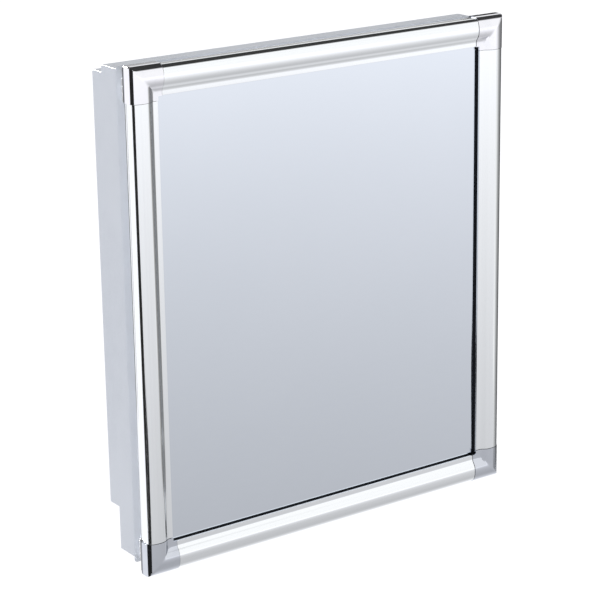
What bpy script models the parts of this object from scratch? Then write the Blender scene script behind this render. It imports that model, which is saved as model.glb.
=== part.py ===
"""Wall medicine cabinet with a framed mirror door, built in metres.

X runs to the right, Z up and Y into the wall.  The wall plane is Y = 0 and the door faces -Y.
Depths are counted from the front of the door towards the wall, insets from the door frame's
outer edges towards the middle of the door.
"""

import math

import bmesh
import bpy
from mathutils import Matrix, Vector

# Overall sizes
DOOR_W = 0.396            # door frame, outside
DOOR_H = 0.450
DEPTH = 0.078             # wall to the front of the door
GAP = 0.0003              # between pieces that touch
RUN_GAP = 0.00008         # between the hinge pins and their knuckles

# Door frame section
SIDE_START = 0.0032       # depth where the flat outer side begins
SIDE_END = 0.0108         # depth where the flat outer side ends
CREST_INSET = 0.0110      # the front bulge is highest here
LIP_START = 0.0225        # the flat lip in front of the glass
LIP_END = 0.0260
LIP_DEPTH = 0.0040
RAIL_WALL = 0.0012
FLANGE_INSET = 0.0016
RETURN_W = 0.0080         # inward return at the back of the rail
DOOR_T = 0.0185

# Corner pieces
CORNER_LEG = 0.030
CORNER_PROUD = 0.0012     # outwards, past the rails
CORNER_RAISE = 0.0003     # forwards, past the rails
CORNER_WALL = 0.0013
CORNER_BACK = 0.0155
CORNER_ROUND = 0.0030     # outer corner radius
KEY_REACH = 0.050
KEY_ARM = 0.0060
KEY_GUSSET = 0.0270
KEY_BACK = 0.0170

# Glass and backing
GLASS_T = 0.0030
BOARD_T = 0.0030

# Case
CASE_INSET = 0.0056       # the door overlaps the case by this much all round
CASE_WALL = 0.0025
NECK_INSET = 0.0039       # the rim is narrower than the case by this much
RIM_FRONT = 0.0203        # depth of the rim's front face
NECK_END = 0.0260
CASE_FRONT = 0.0320       # depth of the joint between rim and shell
RIM_FACE = 0.0060
RIM_TONGUE = 0.0060
STEP_DEPTH = 0.0600       # where the case steps in to its back part
BACK_SIDE_STEP = 0.0014   # how far the back part is set in at the sides
BACK_TOP_STEP = 0.0070
BACK_FOOT_STEP = 0.0390
CASE_ROUND = 0.0020

# Shelves
SHELF_T = 0.0025
SHELF_LIP = 0.0060
SHELF_FRONT = 0.0395
LEDGE_W = 0.0060
LEDGE_H = 0.0040

# Hinges
AXIS_INSET = 0.0030
AXIS_DEPTH = 0.0193
KNUCKLE_R = 0.0019
PIN_R = 0.0008
HINGE_H = 0.0180
HINGE_DROP = 0.0110       # from the frame's outer edge to the hinge's outer end
LEAF_T = 0.0010
DOOR_LEAF_W = 0.0180

# Catch, bumpers and fixings
CATCH_W = 0.0120
CATCH_H = 0.0360
CATCH_L = 0.0200
STRIKE_T = 0.0010
BUMPER_R = 0.0022
SCREW_R = 0.0010
WALL_SCREW_R = 0.0020
WALL_SCREW_X = 0.145
WALL_SCREW_DROP = 0.030

Y_FRONT = -DEPTH
HALF_W = DOOR_W / 2
HALF_H = DOOR_H / 2
GLASS_FRONT = LIP_DEPTH + RAIL_WALL + GAP
GLASS_BACK = GLASS_FRONT + GLASS_T
BOARD_FRONT = GLASS_BACK + GAP
BOARD_BACK = BOARD_FRONT + BOARD_T
KEY_FRONT = BOARD_BACK + GAP
KEY_OUT = CORNER_WALL - CORNER_PROUD + GAP
CHANNEL_INSET = FLANGE_INSET + RAIL_WALL + GAP
GLASS_INSET = CHANNEL_INSET + 3 * GAP
CASE_X = HALF_W - CASE_INSET
CASE_Z = HALF_H - CASE_INSET
INNER_X = CASE_X - CASE_WALL
INNER_Z = CASE_Z - CASE_WALL
NECK_X = CASE_X - NECK_INSET
RIM_IN = NECK_INSET + RIM_FACE
RIM_X = CASE_X - RIM_IN
HINGE_AXIS = Vector((-HALF_W + AXIS_INSET, Y_FRONT + AXIS_DEPTH, 0.0))
SHELF_HEIGHTS = {"upper": INNER_Z / 3, "lower": -INNER_Z / 3}
CORNERS = {"top_left": (-1, 1), "top_right": (1, 1), "bottom_right": (1, -1), "bottom_left": (-1, -1)}


# ---------------------------------------------------------------- materials

def material(name, color, metallic, roughness):
    """A plain Principled material, made once per name."""
    made = bpy.data.materials.get(name)
    if made is None:
        made = bpy.data.materials.new(name)
        made.use_nodes = True
        shader = made.node_tree.nodes["Principled BSDF"]
        shader.inputs["Base Color"].default_value = (*color, 1.0)
        shader.inputs["Metallic"].default_value = metallic
        shader.inputs["Roughness"].default_value = roughness
    return made


def case_plastic():
    return material("case_plastic", (0.80, 0.81, 0.86), 0.0, 0.45)


def shelf_plastic():
    return material("shelf_plastic", (0.84, 0.85, 0.88), 0.0, 0.40)


def frame_aluminium():
    return material("frame_aluminium", (0.90, 0.90, 0.92), 1.0, 0.16)


def corner_chrome():
    return material("corner_chrome", (0.86, 0.86, 0.88), 1.0, 0.07)


def mirror_silver():
    return material("mirror_silver", (0.86, 0.89, 0.92), 1.0, 0.02)


def backing_board():
    return material("backing_board", (0.46, 0.33, 0.21), 0.0, 0.80)


def key_plastic():
    return material("key_plastic", (0.12, 0.12, 0.13), 0.0, 0.55)


def hinge_steel():
    return material("hinge_steel", (0.62, 0.62, 0.64), 1.0, 0.35)


def screw_zinc():
    return material("screw_zinc", (0.70, 0.71, 0.72), 1.0, 0.30)


def magnet_black():
    return material("magnet_black", (0.06, 0.06, 0.06), 0.0, 0.50)


def bumper_rubber():
    return material("bumper_rubber", (0.75, 0.75, 0.76), 0.0, 0.70)


# ---------------------------------------------------------------- helpers

def clear_scene():
    for old in list(bpy.data.objects):
        bpy.data.objects.remove(old, do_unlink=True)


def collection(name):
    made = bpy.data.collections.new(name)
    bpy.context.scene.collection.children.link(made)
    return made


def as_mesh(name, mesh_data):
    """Turns a bmesh into mesh data with its faces pointing out."""
    bmesh.ops.recalc_face_normals(mesh_data, faces=mesh_data.faces)
    mesh = bpy.data.meshes.new(name)
    mesh_data.to_mesh(mesh)
    mesh_data.free()
    return mesh


def box(low, high):
    """A box between two corners: its mesh data, middle and rotation."""
    low, high = Vector(low), Vector(high)
    made = bmesh.new()
    bmesh.ops.create_cube(made, size=1.0)
    bmesh.ops.scale(made, vec=high - low, verts=made.verts)
    return as_mesh("box", made), (low + high) / 2, None


def rod(start, end, radius, sides=24):
    """A round bar between two points: its mesh data, middle and rotation."""
    start, end = Vector(start), Vector(end)
    made = bmesh.new()
    bmesh.ops.create_cone(made, cap_ends=True, segments=sides, radius1=radius, radius2=radius,
                          depth=(end - start).length)
    return as_mesh("rod", made), (start + end) / 2, (end - start).to_track_quat("Z", "Y")


def loft(rings, closed=False):
    """Skins a list of equal rings of points; the ends are capped unless the loft is closed."""
    made = bmesh.new()
    rows = [[made.verts.new(point) for point in ring] for ring in rings]
    pairs = list(zip(rows, rows[1:] + rows[:1])) if closed else list(zip(rows, rows[1:]))
    for here, there in pairs:
        for i in range(len(here)):
            j = (i + 1) % len(here)
            made.faces.new((here[i], here[j], there[j], there[i]))
    if not closed:
        made.faces.new(rows[0])
        made.faces.new(rows[-1])
    bmesh.ops.remove_doubles(made, verts=made.verts, dist=1e-6)
    return as_mesh("loft", made), Vector(), None


def drawn(outline, half_length, middle, across, inward):
    """An outline in (across, inward) directions drawn out to both sides of its middle."""
    curve = bpy.data.curves.new("outline", "CURVE")
    curve.dimensions = "2D"
    curve.fill_mode = "BOTH"
    curve.extrude = half_length
    spline = curve.splines.new("POLY")
    spline.points.add(len(outline) - 1)
    for point, (x, y) in zip(spline.points, outline):
        point.co = (x, y, 0.0, 1.0)
    spline.use_cyclic_u = True
    across, inward = Vector(across), Vector(inward)
    turn = Matrix((across, inward, across.cross(inward))).transposed()
    return curve, Vector(middle), turn.to_quaternion()


def soften(piece, width, segments=2, angle=40):
    """Rounds a piece's sharp edges."""
    bevel = piece.modifiers.new("soft_edges", "BEVEL")
    bevel.width = width
    bevel.segments = segments
    bevel.limit_method = "ANGLE"
    bevel.angle_limit = math.radians(angle)


def combine(piece, tool, operation):
    """Joins or cuts a piece with an object from the cutter collection."""
    tool.hide_render = True
    tool.display_type = "WIRE"
    step = piece.modifiers.new(tool.name, "BOOLEAN")
    step.operation = operation
    step.solver = "EXACT"
    step.object = tool


def bezier(p0, p1, p2, p3, steps):
    """Points along a cubic curve, without its first point."""
    found = []
    for i in range(1, steps + 1):
        t = i / steps
        s = 1 - t
        found.append(tuple(s ** 3 * a + 3 * s * s * t * b + 3 * s * t * t * c + t ** 3 * d
                           for a, b, c, d in zip(p0, p1, p2, p3)))
    return found


def thicken(path, wall):
    """Closes an open path into a band of even wall, laid on the path's inner side."""
    inner = []
    for i, point in enumerate(path):
        here = Vector(point)
        before = (here - Vector(path[i - 1])).normalized() if i else None
        after = (Vector(path[i + 1]) - here).normalized() if i + 1 < len(path) else None
        before, after = before or after, after or before
        n0 = Vector((-before.y, before.x))
        n1 = Vector((-after.y, after.x))
        side = (n0 + n1).normalized()
        inner.append(tuple(here + side * (wall / max(side.dot(n0), 0.5))))
    return list(path) + inner[::-1]


def front_curve(outer, front):
    """The bulged front of the frame, from its outer side to the lip, as (inset, depth) points."""
    start = (outer, SIDE_START)
    crest = (CREST_INSET, front)
    lip = (LIP_START, LIP_DEPTH + front)
    points = [start]
    points += bezier(start, (outer, front + 0.0007), (outer + 0.0048, front), crest, 9)
    points += bezier(crest, (CREST_INSET + 0.0072, front), (LIP_START - 0.0042, lip[1]), lip, 8)
    points.append((LIP_END - front, lip[1]))
    return points


def rail_section():
    """The drawn aluminium length: a channel with a return at the back and a bulged front."""
    back = [(RETURN_W, DOOR_T), (FLANGE_INSET, DOOR_T), (FLANGE_INSET, SIDE_END + 0.0022)]
    back += bezier(back[-1], (FLANGE_INSET / 3, SIDE_END + 0.0020), (0.0, SIDE_END + 0.0012),
                   (0.0, SIDE_END), 3)
    return thicken(back + front_curve(0.0, 0.0), RAIL_WALL)


def corner_section():
    """The moulded corner piece: the same front, a little proud of the rails, open at the back."""
    path = [(-CORNER_PROUD, CORNER_BACK)] + front_curve(-CORNER_PROUD, -CORNER_RAISE)
    return thicken(path, CORNER_WALL)


def door_point(corner, inset_x, inset_z, depth):
    """A point of the door counted from one of its four outer corners."""
    side, level = CORNERS[corner]
    return Vector((side * (HALF_W - inset_x), Y_FRONT + depth, level * (HALF_H - inset_z)))


def slab(corner, outline, near, far):
    """A flat outline of corner insets, given thickness between two depths."""
    return loft([[door_point(corner, x, z, depth) for x, z in outline] for depth in (near, far)])


def turned(inset, radius, turn):
    """Insets of a section point at part of the way round a corner of the given centre radius."""
    if inset >= radius:
        return inset, inset
    angle = turn * math.pi / 2
    reach = radius - inset
    return radius - reach * math.cos(angle), radius - reach * math.sin(angle)


# ---------------------------------------------------------------- pieces

class Builder:
    """Keeps the collections, the door's pivot and the way pieces are put in them."""

    def __init__(self):
        self.parts = collection("medicine_cabinet")
        self.cutters = collection("cutters")
        self.pivot = bpy.data.objects.new("door_pivot", None)
        self.pivot.location = HINGE_AXIS
        self.parts.objects.link(self.pivot)

    def put(self, name, form, group):
        data, middle, turn = form
        made = bpy.data.objects.new(name, data)
        made.location = middle
        if turn is not None:
            made.rotation_mode = "QUATERNION"
            made.rotation_quaternion = turn
        group.objects.link(made)
        return made

    def case(self, name, form, look):
        """A piece that stays with the case."""
        made = self.put(name, form, self.parts)
        if not made.data.materials:
            made.data.materials.append(look)
        return made

    def door(self, name, form, look):
        """A piece that swings with the door."""
        made = self.case(name, form, look)
        made.parent = self.pivot
        made.location -= HINGE_AXIS
        return made

    def cut(self, piece, name, form):
        combine(piece, self.put("cut_" + name, form, self.cutters), "DIFFERENCE")

    def join(self, piece, name, form):
        combine(piece, self.put("add_" + name, form, self.cutters), "UNION")


def screw(seat, direction, radius, length, head_r):
    """A round-headed screw turned from its half outline: its head stands on the seat."""
    head_h = head_r * 0.55
    outline = [(0.0, head_h), (0.55 * head_r, 0.88 * head_h), (0.90 * head_r, 0.5 * head_h), (head_r, 0.0),
               (radius, 0.0), (radius, radius - length), (0.0, -length)]
    mesh = bpy.data.meshes.new("screw")
    mesh.from_pydata([(x, 0.0, z) for x, z in outline], [(i, i + 1) for i in range(len(outline) - 1)], [])
    return mesh, Vector(seat), Vector(direction).to_track_quat("-Z", "Y")


def turn_full(piece, steps=16):
    """Turns a half outline once round its own Z axis."""
    lathe = piece.modifiers.new("turned", "SCREW")
    lathe.axis = "Z"
    lathe.steps = steps
    lathe.render_steps = steps
    lathe.use_merge_vertices = True
    lathe.merge_threshold = 0.00001


def case_shell(b):
    """The moulded case: a wide front part that steps in to a shallower back part."""
    step = Y_FRONT + STEP_DEPTH
    front = Y_FRONT + CASE_FRONT + GAP
    back_x = CASE_X - BACK_SIDE_STEP
    back_top = CASE_Z - BACK_TOP_STEP
    back_foot = -CASE_Z + BACK_FOOT_STEP
    shell = b.case("case_shell", box((-CASE_X, front, -CASE_Z), (CASE_X, step, CASE_Z)), case_plastic())
    soften(shell, CASE_ROUND, 3)
    rear = b.put("add_back_part", box((-back_x, step - 0.004, back_foot), (back_x, 0.0, back_top)), b.cutters)
    soften(rear, CASE_ROUND, 3)
    combine(shell, rear, "UNION")
    b.cut(shell, "front_hollow", box((-INNER_X, front - 0.01, -INNER_Z), (INNER_X, step - CASE_WALL, INNER_Z)))
    b.cut(shell, "back_hollow", box((-back_x + CASE_WALL, step - 0.01, back_foot + CASE_WALL),
                                    (back_x - CASE_WALL, -CASE_WALL, back_top - CASE_WALL)))
    for i, (x, z) in enumerate(wall_screw_places()):
        b.cut(shell, f"wall_hole_{i}", rod((x, -0.01, z), (x, 0.01, z), WALL_SCREW_R + GAP))


def case_rim(b):
    """The front frame of the case: narrower than the case, with a tongue inside the shell."""
    tongue = CASE_WALL + GAP
    inner = max(RIM_IN, tongue + CASE_WALL)
    section = [(0.0, CASE_FRONT), (NECK_INSET, NECK_END), (NECK_INSET, RIM_FRONT), (inner, RIM_FRONT),
               (inner, NECK_END), (tongue + CASE_WALL, CASE_FRONT - 0.001),
               (tongue + CASE_WALL, CASE_FRONT + RIM_TONGUE), (tongue, CASE_FRONT + RIM_TONGUE),
               (tongue, CASE_FRONT)]
    rings = []
    for side, level in ((-1, -1), (1, -1), (1, 1), (-1, 1)):
        turns = [i / 3 for i in range(4)]
        if side * level < 0:
            turns.reverse()
        for turn in turns:
            ring = []
            for inset, depth in section:
                ux, uz = turned(inset, CASE_ROUND, turn)
                ring.append((side * (CASE_X - ux), Y_FRONT + depth, level * (CASE_Z - uz)))
            rings.append(ring)
    rim = b.case("case_rim", loft(rings, closed=True), case_plastic())
    for level, name in ((1, "top"), (-1, "bottom")):
        for i, (depth, z) in enumerate(case_leaf_screws(level)):
            y = Y_FRONT + depth
            b.cut(rim, f"rim_hole_{name}_{i}", rod((-NECK_X - 0.01, y, z), (-NECK_X + 0.0045, y, z),
                                                   SCREW_R + GAP, 16))


def shelves(b):
    """Two shelves with turned-down front edges, each resting on a ledge at either side."""
    half = min(INNER_X, CASE_X - BACK_SIDE_STEP - CASE_WALL) - GAP
    depth = DEPTH - CASE_WALL - GAP - SHELF_FRONT
    for name, height in SHELF_HEIGHTS.items():
        low = height - SHELF_T / 2
        front = Y_FRONT + SHELF_FRONT
        outline = [(0.0, -SHELF_LIP), (SHELF_T, -SHELF_LIP), (SHELF_T, 0.0), (depth, 0.0),
                   (depth, SHELF_T), (0.0, SHELF_T)]
        b.case("shelf_" + name, drawn(outline, half, (0.0, front, low), (0, 1, 0), (0, 0, 1)),
               shelf_plastic())
        for side, hand in ((-1, "left"), (1, "right")):
            x = sorted((side * (INNER_X - GAP), side * (INNER_X - GAP - LEDGE_W)))
            top = low - GAP
            ledge = b.case(f"ledge_{name}_{hand}",
                           box((x[0], front + SHELF_T + GAP, top - LEDGE_H),
                               (x[1], Y_FRONT + STEP_DEPTH - CASE_WALL - GAP, top)), case_plastic())
            soften(ledge, 0.0008)


def rails(b):
    """Four drawn lengths of the frame, each stopping short of the corner pieces."""
    section = rail_section()
    stop = CORNER_LEG + GAP
    for name, level in (("rail_top", 1), ("rail_bottom", -1)):
        b.door(name, drawn(section, HALF_W - stop, (0.0, Y_FRONT, level * HALF_H), (0, 0, -level), (0, 1, 0)),
               frame_aluminium())
    for name, side in (("stile_left", -1), ("stile_right", 1)):
        b.door(name, drawn(section, HALF_H - stop, (side * HALF_W, Y_FRONT, 0.0), (-side, 0, 0), (0, 1, 0)),
               frame_aluminium())


def corner_pieces(b):
    """Four plated corner pieces: the frame's section carried round a mitred corner."""
    section = corner_section()
    radius = CORNER_ROUND - CORNER_PROUD
    for name in CORNERS:
        rings = [[door_point(name, inset, CORNER_LEG, depth) for inset, depth in section]]
        for i in range(5):
            rings.append([door_point(name, *turned(inset, radius, i / 4), depth) for inset, depth in section])
        rings.append([door_point(name, CORNER_LEG, inset, depth) for inset, depth in section])
        piece = b.door("corner_" + name, loft(rings), corner_chrome())
        piece.data.shade_smooth()
        piece.data.set_sharp_from_angle(angle=math.radians(35))


def corner_keys(b):
    """An angle inside each corner that joins two rails and holds the glass and its backing."""
    radius = CORNER_ROUND - CORNER_PROUD
    wall_in = GLASS_INSET - GAP
    leg = CORNER_LEG - GAP
    near, far = CHANNEL_INSET, CHANNEL_INSET + KEY_ARM
    bend = [turned(KEY_OUT, radius, i / 4) for i in range(5)]
    plate = bend + [(leg, KEY_OUT), (leg, near), (KEY_REACH, near), (KEY_REACH, far), (KEY_GUSSET, far),
                    (KEY_GUSSET, KEY_GUSSET), (far, KEY_GUSSET), (far, KEY_REACH), (near, KEY_REACH),
                    (near, leg), (KEY_OUT, leg)]
    wall = bend + [(leg, KEY_OUT), (leg, wall_in), (wall_in, wall_in), (wall_in, leg), (KEY_OUT, leg)]
    for name, (side, level) in CORNERS.items():
        key = b.door("key_" + name, slab(name, plate, KEY_FRONT, KEY_BACK), key_plastic())
        b.join(key, name + "_wall", slab(name, wall, GLASS_FRONT, KEY_FRONT + 0.001))
        if side < 0:
            for i, (x, z) in enumerate(door_leaf_screws(level)):
                y = Y_FRONT + KEY_BACK
                b.cut(key, f"{name}_hole_{i}", rod((x, y - 0.0042, z), (x, y + 0.004, z), SCREW_R + GAP, 16))


def glass_and_board(b):
    """The mirror glass and the board that backs it."""
    x, z = HALF_W - GLASS_INSET, HALF_H - GLASS_INSET
    glass = b.door("mirror_glass", box((-x, Y_FRONT + GLASS_FRONT, -z), (x, Y_FRONT + GLASS_BACK, z)),
                   mirror_silver())
    soften(glass, 0.0005, 1)
    b.door("backing_board", box((-x, Y_FRONT + BOARD_FRONT, -z), (x, Y_FRONT + BOARD_BACK, z)),
           backing_board())


def beads(b):
    """Retaining strips in the rails' channels, between the corner keys."""
    outer, inner = CHANNEL_INSET, CHANNEL_INSET + KEY_ARM
    reach = KEY_REACH + GAP
    y = (Y_FRONT + KEY_FRONT, Y_FRONT + KEY_BACK)
    for name, level in (("bead_top", 1), ("bead_bottom", -1)):
        z = sorted((level * (HALF_H - outer), level * (HALF_H - inner)))
        soften(b.door(name, box((-HALF_W + reach, y[0], z[0]), (HALF_W - reach, y[1], z[1])),
                      shelf_plastic()), 0.0006)
    for name, side in (("bead_left", -1), ("bead_right", 1)):
        x = sorted((side * (HALF_W - outer), side * (HALF_W - inner)))
        soften(b.door(name, box((x[0], y[0], -HALF_H + reach), (x[1], y[1], HALF_H - reach)),
                      shelf_plastic()), 0.0006)


def hinge_span(level):
    """Bottom and top of one hinge."""
    outer = level * (HALF_H - HINGE_DROP)
    return sorted((outer, outer - level * HINGE_H))


def door_leaf_screws(level):
    low, high = hinge_span(level)
    x = -HALF_W + AXIS_INSET + DOOR_LEAF_W * 0.6
    return [(x, low + HINGE_H * 0.25), (x, high - HINGE_H * 0.25)]


def case_leaf_screws(level):
    low, high = hinge_span(level)
    depth = (RIM_FRONT + NECK_END) / 2
    return [(depth, low + HINGE_H * 0.25), (depth, high - HINGE_H * 0.25)]


def door_leaf(b, name, level):
    """The hinge leaf on the corner key, with the middle knuckle."""
    low, high = hinge_span(level)
    mid = (low + HINGE_H / 3 + GAP, high - HINGE_H / 3 - GAP)
    clear = KNUCKLE_R + GAP
    ax, ay = HINGE_AXIS.x, HINGE_AXIS.y
    near = Y_FRONT + KEY_BACK + GAP
    far = near + LEAF_T
    leaf = b.door("hinge_door_leaf_" + name, box((ax + clear, near, low), (ax + DOOR_LEAF_W, far, high)),
                  hinge_steel())
    b.join(leaf, name + "_door_tab", box((ax, near, mid[0]), (ax + clear + 0.001, far, mid[1])))
    b.join(leaf, name + "_door_knuckle", rod((ax, ay, mid[0]), (ax, ay, mid[1]), KNUCKLE_R))
    b.cut(leaf, name + "_door_bore", rod((ax, ay, low), (ax, ay, high), PIN_R + RUN_GAP))
    for i, (x, z) in enumerate(door_leaf_screws(level)):
        b.cut(leaf, f"{name}_door_hole_{i}", rod((x, near - 0.002, z), (x, far + 0.002, z), SCREW_R + GAP, 16))
        turn_full(b.door(f"screw_door_leaf_{name}_{i + 1}",
                         screw((x, far + GAP, z), (0, -1, 0), SCREW_R, LEAF_T + 0.0042, 2 * SCREW_R),
                         screw_zinc()))


def case_leaf(b, name, level):
    """The cranked hinge leaf on the side of the rim, with the two outer knuckles."""
    low, high = hinge_span(level)
    mid = (low + HINGE_H / 3, high - HINGE_H / 3)
    clear = KNUCKLE_R + GAP
    ax, ay = HINGE_AXIS.x, HINGE_AXIS.y
    near, far = ay - LEAF_T / 2, ay + LEAF_T / 2
    plate = (-NECK_X - GAP - LEAF_T, -NECK_X - GAP)
    leaf = b.case("hinge_case_leaf_" + name,
                  box((plate[0], near, low), (plate[1], Y_FRONT + NECK_END - GAP, high)), hinge_steel())
    b.join(leaf, name + "_link", box((ax + clear, near, low), (plate[0] + LEAF_T / 2, far, high)))
    for i, (z0, z1) in enumerate(((low, mid[0]), (mid[1], high))):
        b.join(leaf, f"{name}_case_tab_{i}", box((ax, near, z0), (ax + clear + 0.001, far, z1)))
        b.join(leaf, f"{name}_case_knuckle_{i}", rod((ax, ay, z0), (ax, ay, z1), KNUCKLE_R))
    b.cut(leaf, name + "_case_bore", rod((ax, ay, low - 0.001), (ax, ay, high + 0.001), PIN_R + RUN_GAP))
    for i, (depth, z) in enumerate(case_leaf_screws(level)):
        y = Y_FRONT + depth
        b.cut(leaf, f"{name}_case_hole_{i}", rod((plate[0] - 0.002, y, z), (plate[1] + 0.002, y, z),
                                                 SCREW_R + GAP, 16))
        turn_full(b.case(f"screw_case_leaf_{name}_{i + 1}",
                         screw((plate[0] - GAP, y, z), (1, 0, 0), SCREW_R, LEAF_T + 0.0042, 1.8 * SCREW_R),
                         screw_zinc()))


def hinge_pin(b, name, level):
    """A headed pin through the three knuckles."""
    low, high = hinge_span(level)
    ax, ay = HINGE_AXIS.x, HINGE_AXIS.y
    head = 0.0007
    pin = b.case("hinge_pin_" + name, rod((ax, ay, low - GAP - head), (ax, ay, high + GAP + head), PIN_R),
                 hinge_steel())
    for i, z in enumerate((low - GAP - head, high + GAP)):
        b.join(pin, f"{name}_pin_head_{i}", rod((ax, ay, z), (ax, ay, z + head), KNUCKLE_R * 0.85))


def catch(b):
    """A magnetic catch inside the rim and its strike plate on the door's back."""
    right = RIM_X - GAP
    mid_x = right - CATCH_W / 2
    front = Y_FRONT + RIM_FRONT
    pocket_x, pocket_z, pocket_y = 0.0035, CATCH_H * 0.3, front + 0.012
    housing = b.case("catch_housing", box((right - CATCH_W, front, -CATCH_H / 2),
                                          (right, front + CATCH_L, CATCH_H / 2)), case_plastic())
    soften(housing, 0.0008)
    b.cut(housing, "catch_pocket", box((mid_x - pocket_x, front - 0.002, -pocket_z),
                                       (mid_x + pocket_x, pocket_y, pocket_z)))
    face = front - 0.0006
    soften(b.case("catch_magnet", box((mid_x - pocket_x + GAP, face, -pocket_z + GAP),
                                      (mid_x + pocket_x - GAP, pocket_y - GAP, pocket_z - GAP)),
                  magnet_black()), 0.0004, 1)
    for i, z in enumerate((-CATCH_H * 0.4, CATCH_H * 0.4)):
        y = front + CATCH_L * 0.6
        seat = right - CATCH_W - GAP
        b.cut(housing, f"catch_hole_{i}", rod((seat - 0.002, y, z), (seat + 0.0090, y, z), SCREW_R + GAP, 16))
        turn_full(b.case(f"screw_catch_{i + 1}", screw((seat, y, z), (1, 0, 0), SCREW_R, 0.0085, 2 * SCREW_R),
                         screw_zinc()))

    plate_y = face - GAP - STRIKE_T
    block = b.door("strike_block", box((mid_x - 0.0052, Y_FRONT + BOARD_BACK + GAP, -CATCH_H / 2),
                                       (mid_x + 0.0052, plate_y - GAP, CATCH_H / 2)), shelf_plastic())
    soften(block, 0.0008)
    soften(b.door("strike_plate", box((mid_x - 0.0045, plate_y, -CATCH_H * 0.46),
                                      (mid_x + 0.0045, plate_y + STRIKE_T, CATCH_H * 0.46)), hinge_steel()),
           0.0003, 1)


def bumpers(b):
    """Soft stops on the rim's front face, on the side that opens."""
    x = (RIM_X + NECK_X) / 2
    for name, level in (("top", 1), ("bottom", -1)):
        z = level * CASE_Z * 0.62
        soften(b.case("bumper_" + name, rod((x, Y_FRONT + DOOR_T + GAP, z), (x, Y_FRONT + RIM_FRONT - GAP, z),
                                            BUMPER_R), bumper_rubber()), 0.0004)


def wall_screw_places():
    top = CASE_Z - BACK_TOP_STEP - WALL_SCREW_DROP
    foot = -CASE_Z + BACK_FOOT_STEP + WALL_SCREW_DROP
    return [(-WALL_SCREW_X, top), (WALL_SCREW_X, top), (-WALL_SCREW_X, foot), (WALL_SCREW_X, foot)]


def wall_screws(b):
    """Four screws through the back of the case, ending at the wall plane."""
    for i, (x, z) in enumerate(wall_screw_places()):
        turn_full(b.case(f"wall_screw_{i + 1}", screw((x, -CASE_WALL - GAP, z), (0, 1, 0), WALL_SCREW_R,
                                                      CASE_WALL + GAP, 2 * WALL_SCREW_R), screw_zinc()))


def build():
    clear_scene()
    b = Builder()
    case_shell(b)
    case_rim(b)
    shelves(b)
    rails(b)
    corner_pieces(b)
    corner_keys(b)
    glass_and_board(b)
    beads(b)
    for name, level in (("top", 1), ("bottom", -1)):
        door_leaf(b, name, level)
        case_leaf(b, name, level)
        hinge_pin(b, name, level)
    catch(b)
    bumpers(b)
    wall_screws(b)


build()
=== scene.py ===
"""Medicine cabinet with a mirror door: the finished look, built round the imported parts.

X runs to the right, Z up and Y into the wall. The door faces -Y and hangs on its left side.
Lengths are in metres. An inset is counted from the door frame's outer edge towards the middle
of the door, a depth from the front of the door towards the wall.
"""
from math import cos, pi, radians, sin

import bmesh
import bpy
from mathutils import Matrix, Vector


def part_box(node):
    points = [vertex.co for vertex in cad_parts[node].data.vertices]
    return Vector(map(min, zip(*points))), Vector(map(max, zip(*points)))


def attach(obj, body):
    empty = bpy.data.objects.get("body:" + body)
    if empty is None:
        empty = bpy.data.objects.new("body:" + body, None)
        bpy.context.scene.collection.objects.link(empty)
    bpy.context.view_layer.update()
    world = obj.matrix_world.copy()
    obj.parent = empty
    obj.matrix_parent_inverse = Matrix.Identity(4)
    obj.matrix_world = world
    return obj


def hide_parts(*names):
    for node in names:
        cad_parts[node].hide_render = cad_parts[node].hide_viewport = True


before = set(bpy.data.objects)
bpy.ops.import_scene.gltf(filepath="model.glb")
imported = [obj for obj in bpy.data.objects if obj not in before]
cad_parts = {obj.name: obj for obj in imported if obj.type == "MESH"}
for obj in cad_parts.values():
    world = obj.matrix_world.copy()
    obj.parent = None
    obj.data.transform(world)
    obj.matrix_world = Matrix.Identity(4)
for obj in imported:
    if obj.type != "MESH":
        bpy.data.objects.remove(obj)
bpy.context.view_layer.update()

# ---------------------------------------------------------------- sizes taken from the frame

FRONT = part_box("rail_top")[0].y
HALF_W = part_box("stile_right")[1].x
HALF_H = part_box("rail_top")[1].z
RAIL_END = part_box("rail_top")[1].x
STILE_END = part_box("stile_left")[1].z
RAIL_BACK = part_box("rail_top")[1].y
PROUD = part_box("corner_top_right")[1].x - HALF_W
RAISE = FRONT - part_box("corner_top_right")[0].y
CORNER_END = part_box("corner_top_right")[0].x
CORNER_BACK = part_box("corner_top_right")[1].y - FRONT

# The frame's section: depths where the flat side starts and ends, insets of the crest and the lip
SIDE_START, SIDE_END = 0.0066, 0.0108
CREST = 0.0110
LIP_START = 0.0225
LIP_END = HALF_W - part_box("stile_right")[0].x
LIP_DEPTH = 0.0040
HEM = 0.0017
FLANGE = 0.0016
RETURN_END = 0.0080
FRONT_SWELL = 0.0040
FRAME_WALL = 0.0012
SILVER_DEPTH = 0.0083

# The plated corners
CORNER_SIDE_START = 0.0082
CORNER_SWELL = 0.0054
CORNER_WALL = 0.0013
CORNER_ROUND = 0.0026

# The case, and how far its front frame flares past it
CASE_WALL = 0.0025
FLARE = 0.0028
FRONT_TIER = 0.060
LEAF_SCREW_HOLE = 0.0013
LEAF_THICK = 0.001

FLOOR_HEIGHT = -0.75
CARD_ON_FLOOR = -0.745


# ---------------------------------------------------------------- camera

def look_from(azimuth, elevation, roll, distance, aside, up):
    """Where the camera stands and how it is turned, looking at the middle of the door's front."""
    a, e, r = radians(azimuth), radians(elevation), radians(roll)
    ahead = Vector((sin(a) * cos(e), cos(a) * cos(e), -sin(e)))
    level = Vector((cos(a), -sin(a), 0.0))
    upright = Vector((sin(a) * sin(e), cos(a) * sin(e), cos(e)))
    across = level * cos(r) - upright * sin(r)
    top = upright * cos(r) + level * sin(r)
    place = Vector((0.0, FRONT, 0.0)) - (across * aside + top * up + ahead * distance)
    turn = Matrix((across, top, -ahead)).transposed().to_4x4()
    return Matrix.Translation(place) @ turn


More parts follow.
